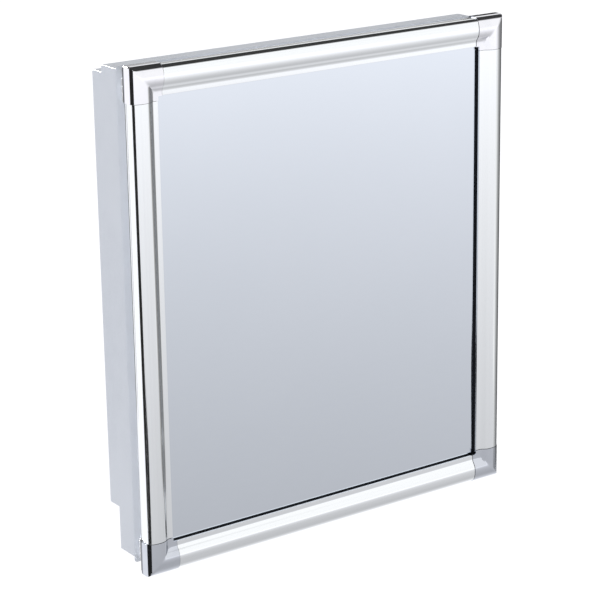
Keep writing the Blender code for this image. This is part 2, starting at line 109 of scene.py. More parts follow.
def set_camera():
    lens = bpy.data.cameras.new("camera")
    lens.sensor_width = 36.0
    lens.lens = 130.03
    lens.shift_x = -0.0148
    lens.shift_y = -0.0333
    lens.clip_start, lens.clip_end = 0.05, 60.0
    camera = bpy.data.objects.new("camera", lens)
    bpy.context.scene.collection.objects.link(camera)
    camera.matrix_world = look_from(azimuth=35.301, elevation=16.800, roll=0.811,
                                    distance=1.93273, aside=0.02067, up=-0.00921)
    bpy.context.scene.camera = camera


# ---------------------------------------------------------------- finishes

class Value:
    """A number that changes over a surface: arithmetic on it adds Math nodes."""

    def __init__(self, nodes, socket):
        self.nodes, self.socket = nodes, socket

    def __add__(self, other):
        return self.nodes.math("ADD", self, other)

    def __mul__(self, other):
        return self.nodes.math("MULTIPLY", self, other)

    def __sub__(self, other):
        return self.nodes.math("SUBTRACT", self, other)

    def __rsub__(self, other):
        return self.nodes.math("SUBTRACT", other, self)

    __radd__ = __add__
    __rmul__ = __mul__


class Nodes:
    """Adds nodes to one node tree."""

    def __init__(self, tree):
        self.tree = tree

    def node(self, kind, settings=None, sockets=None, out=0):
        """A node of a type: its settings first, then its sockets; gives one of its outputs."""
        made = self.tree.nodes.new("ShaderNode" + kind)
        for key, value in (settings or {}).items():
            setattr(made, key, value)
        for key, value in (sockets or {}).items():
            self.feed(made.inputs[key], value)
        return Value(self, made.outputs[out])

    def feed(self, socket, value):
        if isinstance(value, Value):
            self.tree.links.new(value.socket, socket)
        elif hasattr(value, "__len__") and len(value) == 3 and socket.type == "RGBA":
            socket.default_value = (*value, 1.0)
        else:
            socket.default_value = value

    def math(self, operation, *values):
        return self.node("Math", {"operation": operation}, dict(enumerate(values)))

    def clamp(self, value, low=0.0, high=1.0):
        return self.math("MINIMUM", self.math("MAXIMUM", value, low), high)

    def fade(self, value, start, end):
        """0 before start, 1 after end, smooth between."""
        return self.node("MapRange", {"interpolation_type": "SMOOTHSTEP"},
                         {"Value": value, "From Min": start, "From Max": end})

    def mix(self, amount, first, second, mode="MIX"):
        """A blend of two colours."""
        made = self.tree.nodes.new("ShaderNodeMix")
        made.data_type, made.blend_type = "RGBA", mode
        for index, value in ((0, amount), (6, first), (7, second)):
            self.feed(made.inputs[index], value)
        return Value(self, made.outputs[2])

    def place(self, scale=(1.0, 1.0, 1.0), shift=(0.0, 0.0, 0.0)):
        """Object coordinates, stretched and shifted."""
        coordinates = self.node("TexCoord", out="Object")
        return self.node("Mapping", {}, {"Vector": coordinates, "Location": shift, "Scale": scale})

    def axes(self, vector=None):
        """The three parts of a vector, object coordinates if none is given."""
        made = self.tree.nodes.new("ShaderNodeSeparateXYZ")
        self.feed(made.inputs[0], vector or self.node("TexCoord", out="Object"))
        return [Value(self, made.outputs[i]) for i in range(3)]

    def noise(self, scale, detail=2.0, roughness=0.5, stretch=(1.0, 1.0, 1.0),
              shift=(0.0, 0.0, 0.0)):
        return self.node("TexNoise", {}, {"Vector": self.place(stretch, shift), "Scale": scale,
                                          "Detail": detail, "Roughness": roughness})

    def spots(self, scale, size, stretch=(1.0, 1.0, 1.0)):
        """Small round marks, 1 inside and 0 outside."""
        distance = self.node("TexVoronoi", {}, {"Vector": self.place(stretch), "Scale": scale},
                             out="Distance")
        return 1.0 - self.fade(distance, size * 0.6, size)

    def grey(self, tone, blue=None):
        """A grey of a tone, with another tone for its blue if one is given."""
        return self.node("CombineColor", {}, {0: tone, 1: tone, 2: tone if blue is None else blue})


class Finish(Nodes):
    """One finish: a Principled material with its constants, worked up with nodes."""

    def __init__(self, name, **constants):
        self.material = bpy.data.materials.new(name)
        self.material.use_nodes = True
        super().__init__(self.material.node_tree)
        self.shader = self.tree.nodes["Principled BSDF"]
        self.set(**constants)

    def set(self, **values):
        for key, value in values.items():
            self.feed(self.shader.inputs[key.replace("_", " ")], value)

    def bump(self, height, distance, strength=1.0, normal=None):
        sockets = {"Height": height, "Distance": distance, "Strength": strength}
        if normal is not None:
            sockets["Normal"] = normal
        return self.node("Bump", {}, sockets)


# Colour of the painted shade along the frame's back edges, standing in for the shadow in the gap
# between door and case.
BACK_GAP_SHADE = (0.09, 0.095, 0.11)


def moulded_plastic(name, light, dark, roughness):
    """Injection-moulded plastic: a fine spark-eroded grain, faint flow marks, dulled patches."""
    f = Finish(name, IOR=1.46, Specular_IOR_Level=0.5)
    cloud = f.noise(9.0, 4.0, 0.55)
    flow = f.noise(26.0, 3.0, 0.6, stretch=(1.0, 1.0, 0.22))
    grain = f.noise(2600.0, 2.0, 0.6)
    dust = f.spots(420.0, 0.09) * f.fade(f.noise(34.0), 0.52, 0.7)
    color = f.mix(f.fade(cloud, 0.35, 0.68), dark, light)
    color = f.mix(f.fade(flow, 0.5, 0.75) * 0.18, color, light)
    color = f.mix(dust * 0.22, color, tuple(c * 0.7 for c in dark))
    f.set(Base_Color=color,
          Roughness=roughness + (cloud - 0.5) * 0.14 + (grain - 0.5) * 0.16,
          Normal=f.bump(grain, 0.00006, 0.32, f.bump(flow, 0.0008, 0.05)))
    return f.material


def polished_aluminium(name, run):
    """Drawn and brightened aluminium: lines along its run, handling marks, and painted shade
    darkening the back edge.
    """
    f = Finish(name, Metallic=1.0)

    def drawn(along, across):
        return tuple(along if axis == run else across for axis in "xyz")

    lines = f.noise(1.0, 2.0, 0.6, stretch=drawn(6.0, 2600.0))
    bands = f.noise(1.0, 3.0, 0.5, stretch=drawn(1.5, 320.0))
    cloud = f.noise(22.0, 4.0, 0.55)
    marks = f.spots(150.0, 0.05) * f.fade(f.noise(18.0, shift=(3.0, 1.0, 2.0)), 0.55, 0.62)
    color = f.mix(f.fade(bands, 0.3, 0.7), (0.905, 0.928, 0.950), (0.930, 0.952, 0.972))
    color = f.mix(marks * 0.25, color, (0.62, 0.63, 0.67))
    # Painted shade: the rearmost millimetres of the section darken towards the back, standing in
    # for the shadowed gap to the case.
    painted_back_shade = f.fade(f.axes()[1], RAIL_BACK - 0.0030, RAIL_BACK - 0.0014)
    color = f.mix(painted_back_shade * 0.8, color, BACK_GAP_SHADE)
    f.set(Base_Color=color,
          Roughness=(0.085 + (lines - 0.5) * 0.04 + f.fade(cloud, 0.45, 0.75) * 0.035
                     + marks * 0.12),
          Normal=f.bump(lines, 0.00001, 0.10, f.bump(cloud, 0.0004, 0.015)))
    return f.material


def corner_chrome():
    """Chrome over plastic: slightly wavy, hazy and pitted, with painted shade darkening it low down
    and along the back edge.
    """
    f = Finish("corner_chrome_plated", Metallic=1.0)
    wave = f.noise(120.0, 2.0, 0.4)
    haze = f.fade(f.noise(38.0, 4.0, 0.6, shift=(5.0, 2.0, 7.0)), 0.45, 0.7)
    pits = f.spots(700.0, 0.07) * f.fade(f.noise(60.0), 0.56, 0.66)
    color = f.mix(haze, (0.90, 0.90, 0.94), (0.84, 0.845, 0.89))
    color = f.mix(pits * 0.5, color, (0.50, 0.50, 0.53))
    # Painted shade: the corners darken towards the bottom, standing in for their darker reflection
    # low down.
    low = f.fade(f.axes()[2], 0.05, -0.16)
    color = f.mix(low, color, (0.72, 0.75, 0.78), mode="MULTIPLY")
    # Painted shade along the back edge, standing in for the shadow in the gap to the case.
    painted_back_shade = f.fade(f.axes()[1], FRONT + CORNER_BACK - 0.0044, FRONT + CORNER_BACK - 0.0032)
    color = f.mix(painted_back_shade * 0.85, color, BACK_GAP_SHADE)
    f.set(Base_Color=color, Roughness=0.05 + haze * 0.06 + pits * 0.2,
          Normal=f.bump(wave, 0.0002, 0.05))
    return f.material


def mirror_silver():
    """Silvered float glass: a cool, faintly clouded tint and a few wipe marks."""
    f = Finish("mirror_silver_glass", Metallic=1.0)
    cloud = f.noise(7.0, 4.0, 0.55)
    wipes = f.noise(1.0, 3.0, 0.6, stretch=(12.0, 1.0, 70.0))
    color = f.mix(f.fade(cloud, 0.35, 0.7), (0.726, 0.768, 0.832), (0.735, 0.776, 0.840))
    f.set(Base_Color=color, Roughness=0.006 + f.fade(wipes, 0.55, 0.8) * 0.01)
    return f.material


def glass_edge():
    """The cut edge of the pane: green and rough where the wheel ran."""
    f = Finish("mirror_silver_edge", IOR=1.5)
    nicks = f.noise(900.0, 3.0, 0.7)
    f.set(Base_Color=f.mix(nicks, (0.16, 0.28, 0.25), (0.33, 0.47, 0.43)),
          Roughness=0.25 + nicks * 0.3, Normal=f.bump(nicks, 0.0001, 0.5))
    return f.material


def painted_gap_shade():
    """A near-black strip behind the lip: painted shade for the gap there and for its dark
    reflection in the mirror.
    """
    f = Finish("bumper_rubber_gasket", Specular_IOR_Level=0.15)
    grain = f.noise(1800.0, 2.0)
    f.set(Base_Color=f.mix(grain, (0.006, 0.007, 0.010), (0.016, 0.018, 0.024)),
          Roughness=0.6 + grain * 0.25, Normal=f.bump(grain, 0.00006, 0.5))
    return f.material


def backing_board():
    """Hardboard: brown pressed fibre with darker flecks."""
    f = Finish("backing_board_pressed", Specular_IOR_Level=0.2)
    fibre = f.noise(1.0, 4.0, 0.7, stretch=(900.0, 900.0, 240.0))
    fleck = f.spots(330.0, 0.14, stretch=(1.0, 1.0, 0.35))
    cloud = f.noise(12.0, 4.0, 0.6)
    color = f.mix(f.fade(fibre, 0.3, 0.7), (0.20, 0.125, 0.070), (0.33, 0.225, 0.135))
    color = f.mix(f.fade(cloud, 0.3, 0.7) * 0.35, color, (0.24, 0.15, 0.085))
    color = f.mix(fleck * 0.4, color, (0.09, 0.05, 0.03))
    f.set(Base_Color=color, Roughness=0.68 + fibre * 0.2, Normal=f.bump(fibre, 0.00015, 0.5))
    return f.material


def hinge_steel():
    """Bright-plated strip steel with rolling lines and a little tarnish."""
    f = Finish("hinge_steel_plated", Metallic=1.0)
    lines = f.noise(1.0, 2.0, 0.6, stretch=(2400.0, 2400.0, 60.0))
    tarnish = f.fade(f.noise(160.0, 4.0, 0.6), 0.5, 0.72)
    color = f.mix(tarnish, (0.62, 0.63, 0.65), (0.47, 0.47, 0.48))
    f.set(Base_Color=color, Roughness=0.26 + (lines - 0.5) * 0.16 + tarnish * 0.14,
          Normal=f.bump(lines, 0.00003, 0.3))
    return f.material


def screw_zinc():
    """Zinc-plated screws: a faint straw tint, dull in the thread."""
    f = Finish("screw_zinc_plated", Metallic=1.0)
    patch = f.noise(600.0, 4.0, 0.6)
    color = f.mix(f.fade(patch, 0.35, 0.7), (0.68, 0.66, 0.58), (0.60, 0.62, 0.66))
    f.set(Base_Color=color, Roughness=0.28 + patch * 0.2, Normal=f.bump(patch, 0.00003, 0.3))
    return f.material


def magnet_black():
    """Pressed ferrite: near black, faintly speckled."""
    f = Finish("magnet_black_ferrite", Specular_IOR_Level=0.35)
    grain = f.noise(2200.0, 3.0, 0.7)
    f.set(Base_Color=f.mix(f.fade(grain, 0.45, 0.75), (0.020, 0.020, 0.022), (0.07, 0.07, 0.075)),
          Roughness=0.55 + grain * 0.2, Normal=f.bump(grain, 0.00008, 0.5))
    return f.material


def bumper_rubber():
    """Soft clear-grey buffers, a little dusty."""
    f = Finish("bumper_rubber_soft", Specular_IOR_Level=0.3)
    grain = f.noise(1500.0, 3.0, 0.6)
    f.set(Base_Color=f.mix(grain, (0.34, 0.35, 0.37), (0.47, 0.48, 0.50)),
          Roughness=0.5 + grain * 0.25, Normal=f.bump(grain, 0.00006, 0.4))
    return f.material


# ---------------------------------------------------------------- modelling by hand

def select_none():
    if bpy.context.mode != "OBJECT":
        bpy.ops.object.mode_set(mode="OBJECT")
    bpy.ops.object.select_all(action="DESELECT")


def begin(name):
    """Names the primitive that was just added and opens it for editing."""
    made = bpy.context.active_object
    made.name = name
    made.data.name = name
    bpy.ops.object.transform_apply(location=True, rotation=True, scale=True)
    bpy.ops.object.mode_set(mode="EDIT")
    return made


def block(name, low, high):
    """A cube between two corners, open for editing."""
    select_none()
    low, high = Vector(low), Vector(high)
    bpy.ops.mesh.primitive_cube_add(size=1.0, location=(low + high) / 2)
    bpy.context.active_object.scale = high - low
    return begin(name)


def choose(piece, kind, test):
    """Selects the faces, edges or vertices whose middle and normal pass a test."""
    bpy.ops.mesh.select_mode(type=kind)
    bpy.ops.mesh.select_all(action="DESELECT")
    made = bmesh.from_edit_mesh(piece.data)
    made.normal_update()
    if kind == "FACE":
        for face in made.faces:
            face.select_set(bool(test(face.calc_center_median(), face.normal)))
    elif kind == "EDGE":
        for edge in made.edges:
            a, b = edge.verts
            edge.select_set(bool(test((a.co + b.co) / 2, (b.co - a.co).normalized())))
    else:
        for vert in made.verts:
            vert.select_set(bool(test(vert.co, vert.normal)))
    made.select_flush_mode()
    bmesh.update_edit_mesh(piece.data)


def move(x, y, z):
    bpy.ops.transform.translate(value=(x, y, z))


def pull(x, y, z):
    """Extrudes what is selected by a step."""
    bpy.ops.mesh.extrude_region_move(TRANSFORM_OT_translate={"value": (x, y, z)})


def close_edit():
    if bpy.context.mode != "OBJECT":
        bpy.ops.object.mode_set(mode="OBJECT")


def modify(piece, kind, **settings):
    """Adds a modifier and applies it."""
    close_edit()
    select_none()
    piece.select_set(True)
    bpy.context.view_layer.objects.active = piece
    made = piece.modifiers.new(kind.lower(), kind)
    for key, value in settings.items():
        setattr(made, key, value)
    bpy.ops.object.modifier_apply(modifier=made.name)


def soften(piece, width, segments=3, angle=35):
    modify(piece, "BEVEL", width=width, segments=segments, limit_method="ANGLE",
           angle_limit=radians(angle), harden_normals=False)


def outward(piece, point, direction):
    """Turns an open sheet's normals so that its face nearest a point looks in a direction."""
    bpy.ops.mesh.select_all(action="SELECT")
    bpy.ops.mesh.remove_doubles(threshold=0.000002)
    bpy.ops.mesh.normals_make_consistent(inside=False)
    made = bmesh.from_edit_mesh(piece.data)
    nearest = min(made.faces, key=lambda face: (face.calc_center_median() - Vector(point)).length)
    if nearest.normal.dot(Vector(direction)) < 0:
        bpy.ops.mesh.flip_normals()


def smooth(piece, angle=32):
    """Shades a piece smooth below an angle, its large faces flat up to their soft edges."""
    close_edit()
    select_none()
    piece.select_set(True)
    bpy.context.view_layer.objects.active = piece
    bpy.ops.object.shade_smooth_by_angle(angle=radians(angle))
    modify(piece, "WEIGHTED_NORMAL", mode="FACE_AREA", weight=60, keep_sharp=True)


def copy_of(piece, name):
    made = piece.copy()
    made.data = piece.data.copy()
    made.name = made.data.name = name
    bpy.context.scene.collection.objects.link(made)
    return made


def turned(piece, matrix):
    """Puts a turn or a shift into a piece's mesh, and its faces the right way round."""
    piece.data.transform(matrix)
    if matrix.determinant() < 0:
        piece.data.flip_normals()
    piece.data.update()
    return piece


def finish(piece, body, slot, looks, *nodes):
    """Gives a piece its finish and puts it in the place of CAD nodes."""
    piece.data.materials.clear()
    for look in looks if isinstance(looks, (list, tuple)) else [looks]:
        piece.data.materials.append(look)
    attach(piece, body)
    if nodes:
        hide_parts(*nodes)
    return piece


# ---------------------------------------------------------------- the frame's section

def bezier(p0, p1, p2, p3, steps):
    """Points along a cubic curve, without its first point."""
    found = []
    for i in range(1, steps + 1):
        t = i / steps
        s = 1 - t
        found.append(tuple(s ** 3 * a + 3 * s * s * t * b + 3 * s * t * t * c + t ** 3 * d
                           for a, b, c, d in zip(p0, p1, p2, p3)))
    return found


def front_curve(outer, front, start_depth, swell):
    """The bulged front from the outer side to the lip, as (inset, depth) points."""
    start, crest, lip = (outer, start_depth), (CREST, front), (LIP_START, LIP_DEPTH + front)
    shoulder, past_crest, before_lip = start_depth * 0.28, 0.0072, 0.0042
    points = [start]
    points += bezier(start, (outer, front + shoulder), (outer + swell, front), crest, 24)
    points += bezier(crest, (CREST + past_crest, front), (LIP_START - before_lip, lip[1]), lip, 18)
    points += [(LIP_END - front, lip[1]), (LIP_END - front, lip[1] + HEM)]
    return points


def rail_path():
    """The whole section of the drawn aluminium, from its back return to the lip."""
    back = RAIL_BACK - FRONT
    path = [(RETURN_END, back), (0.0036, back), (0.0022, back - 0.0006), (FLANGE, back - 0.0020),
            (FLANGE, SIDE_END + 0.0034), (FLANGE, SIDE_END + 0.0022)]
    path += bezier(path[-1], (FLANGE / 3, SIDE_END + 0.0020), (0.0, SIDE_END + 0.0012),
                   (0.0, SIDE_END), 6)
    return path + front_curve(0.0, 0.0, SIDE_START, FRONT_SWELL)


def draw_section(name, path, start, end, edge):
    """Draws a section edge by edge: a line from start to end along X, extruded through the path."""
    select_none()
    bpy.ops.mesh.primitive_plane_add(size=1.0)
    bpy.context.active_object.scale = (end - start, 1.0, 1.0)
    piece = begin(name)
    choose(piece, "VERT", lambda at, normal: at.y > 0)
    bpy.ops.mesh.delete(type="VERT")
    choose(piece, "VERT", lambda at, normal: True)
    bpy.ops.mesh.select_mode(type="EDGE")
    bpy.ops.mesh.select_all(action="SELECT")
    inset, depth = path[0]
    move((start + end) / 2, 0.5 + FRONT + depth, edge - inset)
    for before, after in zip(path, path[1:]):
        pull(0.0, after[1] - before[1], before[0] - after[0])
    outward(piece, (start, FRONT, edge - CREST), (0, -1, 0))
    return piece


def quarter(turns):
    """A quarter turn about the door's own axis, clockwise seen from the front."""
    return Matrix.Rotation(turns * pi / 2, 4, "Y")


def rails():
    """The four lengths of the frame."""
    bright = {"x": polished_aluminium("frame_aluminium_across", "x"),
              "z": polished_aluminium("frame_aluminium_upright", "z")}
    for node, turns, half, edge, run in (("rail_top", 0, RAIL_END, HALF_H, "x"),
                                         ("stile_right", 1, STILE_END, HALF_W, "z"),
                                         ("rail_bottom", 2, RAIL_END, HALF_H, "x"),
                                         ("stile_left", 3, STILE_END, HALF_W, "z")):
        rail = draw_section(node + "_drawn", rail_path(), -half, half, edge)
        modify(rail, "SOLIDIFY", thickness=FRAME_WALL, offset=-1.0, use_even_offset=True)
        soften(rail, 0.00022, 2, 50)
        smooth(rail, 40)
        turned(rail, quarter(turns))
        finish(rail, "door", "frame_aluminium", bright[run], node)


def corner_pieces(look):
    """The plated corners: one leg drawn, cut at the mitre, mirrored, and rounded outside."""
    outer, front = -PROUD, -RAISE
    back = CORNER_BACK
    path = [(outer + 0.0015, back), (outer + 0.0009, back - 0.0004),
            (outer + 0.0004, back - 0.0011), (outer + 0.0001, back - 0.0020),
            (outer, back - 0.0030), (outer, 0.0085)]
    path += front_curve(outer, front, CORNER_SIDE_START, CORNER_SWELL)
    inner = HALF_H - HALF_W
    leg = draw_section("corner_leg", path, CORNER_END, HALF_W + PROUD + 0.004, HALF_H)
    mitre = (1.0, 0.0, -1.0)
    bpy.ops.mesh.select_all(action="SELECT")
    bpy.ops.mesh.bisect(plane_co=(HALF_W, FRONT, HALF_H), plane_no=mitre, clear_outer=True)
    bpy.ops.mesh.select_all(action="SELECT")
    bpy.ops.mesh.bisect(plane_co=(HALF_W - 0.0020, FRONT, HALF_H), plane_no=mitre)
    close_edit()
    fold = bpy.data.objects.new("fold", None)
    bpy.context.scene.collection.objects.link(fold)
    fold.location = (HALF_W, FRONT, HALF_H)
    fold.rotation_euler = (0.0, radians(45.0), 0.0)
    bpy.context.view_layer.update()
    modify(leg, "MIRROR", use_axis=(True, False, False), mirror_object=fold,
           merge_threshold=0.00001)
    bpy.data.objects.remove(fold)
    bpy.ops.object.mode_set(mode="EDIT")
    crease = HALF_W + PROUD - 0.0008

    def on_mitre(at, along):
        return (abs((at.x - at.z) + inner) < 0.00002 and at.x > crease
                and abs(along.x - along.z) < 0.01)

    choose(leg, "EDGE", on_mitre)
    bpy.ops.mesh.bevel(offset=CORNER_ROUND, segments=6, affect="EDGES", clamp_overlap=True)
    outward(leg, (CORNER_END, FRONT, HALF_H - CREST), (0, -1, 0))
    modify(leg, "SOLIDIFY", thickness=CORNER_WALL, offset=-1.0, use_even_offset=True)
    soften(leg, 0.0003, 2, 55)
    smooth(leg, 42)
    for node, turns in (("corner_top_right", 0), ("corner_bottom_right", 1),
                        ("corner_bottom_left", 2), ("corner_top_left", 3)):
        piece = copy_of(leg, node + "_plated")
        if turns % 2:
            piece.data.transform(Matrix.Translation((-HALF_W, 0.0, -HALF_H)))
            piece.data.transform(quarter(turns))
            side = 1 if node.endswith("right") else -1
            level = 1 if "top" in node else -1
            piece.data.transform(Matrix.Translation((side * HALF_W, 0.0, level * HALF_H)))
        else:
            turned(piece, quarter(turns))
        finish(piece, "door", "corner_chrome", look, node)
    bpy.data.objects.remove(leg)


def mirror(look):
    """The pane: a silver face with a narrow arris, and round it a dark strip of painted shade for
    the gap behind the lip.
    """
    low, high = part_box("mirror_glass")
    pane = block("mirror_glass_silvered", (low.x, FRONT + SILVER_DEPTH, low.z), high)
    choose(pane, "FACE", lambda at, normal: normal.y < -0.9)
    bpy.ops.mesh.inset(thickness=0.0006, depth=0.0)
    choose(pane, "VERT", lambda at, normal: at.y < FRONT + SILVER_DEPTH + 0.0001
           and (abs(at.x) > high.x - 0.0001 or abs(at.z) > high.z - 0.0001))
    move(0.0, 0.0004, 0.0)
    close_edit()
    finish(pane, "door", "mirror_silver", [look, glass_edge()], "mirror_glass")
    for polygon in pane.data.polygons:
        polygon.material_index = 0 if polygon.normal.y < -0.9 else 1
    # A near-black strip of painted shade and painted reflection, set in the gap behind the lip.
    strip_in, strip_out, play = LIP_END - 0.0004, 0.0200, 0.0001
    near, far = LIP_DEPTH + HEM + play, SILVER_DEPTH - play
    strip = block("gap_shade_strip", (-HALF_W + strip_out, FRONT + near, -HALF_H + strip_out),
                  (HALF_W - strip_out, FRONT + far, HALF_H - strip_out))
    choose(strip, "FACE", lambda at, normal: abs(normal.y) > 0.9)
    bpy.ops.mesh.inset(thickness=strip_in - strip_out, depth=0.0)
    choose(strip, "FACE", lambda at, normal: abs(normal.y) > 0.9
           and abs(at.x) < 0.01 and abs(at.z) < 0.01)
    bpy.ops.mesh.bridge_edge_loops()
    bpy.ops.mesh.select_all(action="SELECT")
    bpy.ops.mesh.normals_make_consistent(inside=False)
    soften(strip, 0.0002, 2)
    smooth(strip)
    # Painted shade: the strip takes the rubber's slot, but its near-black colour stands for the
    # shadowed gap.
    finish(strip, "door", "bumper_rubber", painted_gap_shade())


# ---------------------------------------------------------------- the case

def cut_away(piece, tool):
    """Cuts a shape out of a piece and removes the tool."""
    close_edit()
    modify(piece, "BOOLEAN", operation="DIFFERENCE", solver="EXACT", object=tool)
    bpy.data.objects.remove(tool)


def round_bar(name, start, end, radius, sides=32):
    """A round bar from one point to another, open for editing."""
    select_none()
    start, end = Vector(start), Vector(end)
    bpy.ops.mesh.primitive_cylinder_add(vertices=sides, radius=radius, depth=(end - start).length,
                                        location=(start + end) / 2,
                                        rotation=(end - start).to_track_quat("Z", "Y").to_euler())
    return begin(name)


def joined(name, *pieces):
    """Joins pieces into one."""
    select_none()
    for piece in pieces:
        piece.select_set(True)
    bpy.context.view_layer.objects.active = pieces[0]
    bpy.ops.object.join()
    pieces[0].name = pieces[0].data.name = name
    return pieces[0]


def middle(node):
    low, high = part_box(node)
    return (low + high) / 2


def case_shell(look):
    """The moulded case: a wide front tier, a set-in back tier, and a ribbed back panel."""
    low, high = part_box("case_shell")
    step = FRONT + FRONT_TIER
    shell = block("case_shell_moulded", low, (high.x, step, high.z))
    choose(shell, "FACE", lambda at, normal: normal.y > 0.9)
    bpy.ops.mesh.inset(thickness=0.0014, depth=0.0)
    for edge, shift in ((high.z - 0.0014, -0.0056), (low.z + 0.0014, 0.0376)):
        choose(shell, "VERT", lambda at, normal: at.y > step - 0.0001
               and abs(at.z - edge) < 0.0004)
        move(0.0, 0.0, shift)
    choose(shell, "FACE", lambda at, normal: normal.y > 0.9
           and abs(at.x) < 0.01 and abs(at.z) < 0.1)
    pull(0.0, high.y - step, 0.0)
    choose(shell, "FACE", lambda at, normal: normal.y < -0.9)
    bpy.ops.mesh.delete(type="FACE")
    soften(shell, 0.0024, 5, 40)
    bpy.ops.object.mode_set(mode="EDIT")
    choose(shell, "FACE", lambda at, normal: normal.y > 0.99 and at.y > -0.0002)
    bpy.ops.mesh.inset(thickness=0.010, depth=0.0)
    bpy.ops.mesh.subdivide(number_cuts=3)
    bpy.ops.mesh.inset(thickness=0.0016, depth=-0.0008, use_individual=True)
    outward(shell, (high.x, step - 0.012, 0.0), (1, 0, 0))
    modify(shell, "SOLIDIFY", thickness=CASE_WALL, offset=-1.0, use_even_offset=True)
    soften(shell, 0.00045, 3, 50)
    for i in range(4):
        at = middle(f"wall_screw_{i + 1}")
        tool = round_bar("hole", (at.x, -0.012, at.z), (at.x, 0.012, at.z), 0.0023, 40)
        cut_away(shell, tool)
    smooth(shell, 24)
    finish(shell, "case", "case_plastic", look, "case_shell")


def ring_frame(name, outline, half_x, half_z, corner=0.0026):
    """A frame drawn from a rounded rectangle, ring by ring, through (inset, depth) points."""
    select_none()
    inset, depth = outline[0]
    bpy.ops.mesh.primitive_plane_add(size=2.0, rotation=(radians(90), 0, 0))
    bpy.context.active_object.scale = (half_x - inset, half_z - inset, 1.0)
    piece = begin(name)
    bpy.ops.mesh.select_all(action="SELECT")
    bpy.ops.mesh.bevel(offset=corner, segments=5, affect="VERTICES")
    bpy.ops.mesh.select_all(action="SELECT")
    bpy.ops.mesh.delete(type="ONLY_FACE")
    bpy.ops.mesh.select_mode(type="EDGE")
    bpy.ops.mesh.select_all(action="SELECT")
    move(0.0, FRONT + depth, 0.0)
    for after in outline[1:]:
        pull(0.0, after[1] - depth, 0.0)
        bpy.ops.transform.resize(value=((half_x - after[0]) / (half_x - inset), 1.0,
                                        (half_z - after[0]) / (half_z - inset)),
                                 center_override=(0.0, 0.0, 0.0))
        inset, depth = after
    outward(piece, (half_x - outline[2][0], FRONT + outline[2][1], 0.0), (1, 0, 0))
    return piece


def case_rim(look):
    """The case's front frame: a flare, a narrow neck and a rounded face."""
    low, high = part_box("case_rim")
    neck, face = 0.0039, 0.0099
    outline = [(0.0053, 0.0320), (0.0, 0.0320), (0.0001, 0.0314), (0.0006, 0.0307),
               (0.0034, 0.0266), (0.0038, 0.0261), (neck, 0.0254), (neck, 0.0212),
               (neck + 0.0002, 0.0206), (neck + 0.0008, 0.0203), (neck + 0.0018, 0.0203),
               (neck + 0.0021, 0.0206), (neck + 0.0034, 0.0206), (neck + 0.0037, 0.0203),
               (face - 0.0008, 0.0203), (face - 0.0002, 0.0206), (face, 0.0212), (face, 0.0256),
               (0.0056, 0.0309), (0.0053, 0.0316), (0.0053, 0.0320)]
    rim = ring_frame("case_rim_moulded", outline, high.x + FLARE, high.z + FLARE)
    for level, name in ((1, "top"), (-1, "bottom")):
        for i in (1, 2):
            node = f"screw_case_leaf_{name}_{i}"
            at = middle(node)
            cut_away(rim, round_bar("hole", (low.x - 0.002, at.y, at.z),
                                    (low.x + 0.0086, at.y, at.z), LEAF_SCREW_HOLE, 24))
    smooth(rim, 38)
    finish(rim, "case", "case_plastic", look, "case_rim")


def shelves(look):
    """The shelves: a rounded, turned-down front and tapering ribs underneath."""
    low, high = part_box("shelf_upper")
    top, thick = high.z, 0.0025
    shelf = block("shelf_moulded", (low.x, low.y, top - thick), high)
    bpy.ops.mesh.select_all(action="SELECT")
    bpy.ops.mesh.bisect(plane_co=(0, low.y + 0.0024, 0), plane_no=(0, 1, 0))
    choose(shelf, "FACE", lambda at, normal: normal.z < -0.9 and at.y < low.y + 0.0024)
    pull(0.0, 0.0, low.z - (top - thick))
    soften(shelf, 0.0009, 4, 40)
    ribs, count = [shelf], 5
    for i in range(count):
        x = low.x + (high.x - low.x) * (i + 0.5) / count
        rib = block("rib", (x - 0.0006, low.y + 0.0020, top - thick - 0.0028),
                    (x + 0.0006, high.y - 0.002, top - thick + 0.0006))
        choose(rib, "VERT", lambda at, normal: at.y > high.y - 0.003
               and at.z < top - thick - 0.001)
        move(0.0, 0.0, 0.0018)
        soften(rib, 0.0003, 2)
        ribs.append(rib)
    shelf = joined("shelf_moulded", *ribs)
    smooth(shelf, 34)
    drop = middle("shelf_lower").z - middle("shelf_upper").z
    lower = copy_of(shelf, "shelf_lower_moulded")
    lower.data.transform(Matrix.Translation((0.0, 0.0, drop)))
    shelf.name = shelf.data.name = "shelf_upper_moulded"
    finish(shelf, "case", "shelf_plastic", look, "shelf_upper")
    finish(lower, "case", "shelf_plastic", look, "shelf_lower")


# ---------------------------------------------------------------- screws, hinges and catch

def screw(name, head, shank, length):
    """A cross-head screw, its seat at the origin: domed head, recess, ridged shank along -Z."""
    piece = round_bar(name, (0, 0, 0), (0, 0, head * 0.5), head, 32)
    choose(piece, "FACE", lambda at, normal: normal.z > 0.9)
    for reach, rise in ((0.93, 0.06), (0.80, 0.05), (0.60, 0.03)):
        pull(0.0, 0.0, head * rise)
        bpy.ops.transform.resize(value=(reach, reach, 1.0))
    choose(piece, "FACE", lambda at, normal: normal.z < -0.9)
    bpy.ops.mesh.inset(thickness=head - shank)
    pitch = length / 6
    for i in range(6):
        for grow, step in ((1.0 / 0.82 if i else 1.0, 0.25), (1.0, 0.25), (0.82, 0.5)):
            pull(0.0, 0.0, -pitch * step)
            bpy.ops.transform.resize(value=(grow, grow, 1.0))
    close_edit()
    top = head * 0.64
    for across, along in ((0.26, 1.25), (1.25, 0.26)):
        half = Vector((head * across / 2, head * along / 2, 0.0))
        tool = block("recess", (-half.x, -half.y, top - head * 0.5), (half.x, half.y, top + head))
        choose(tool, "FACE", lambda at, normal: normal.z < -0.9)
        bpy.ops.transform.resize(value=(0.55, 0.55, 1.0))
        cut_away(piece, tool)
    smooth(piece, 30)
    return piece


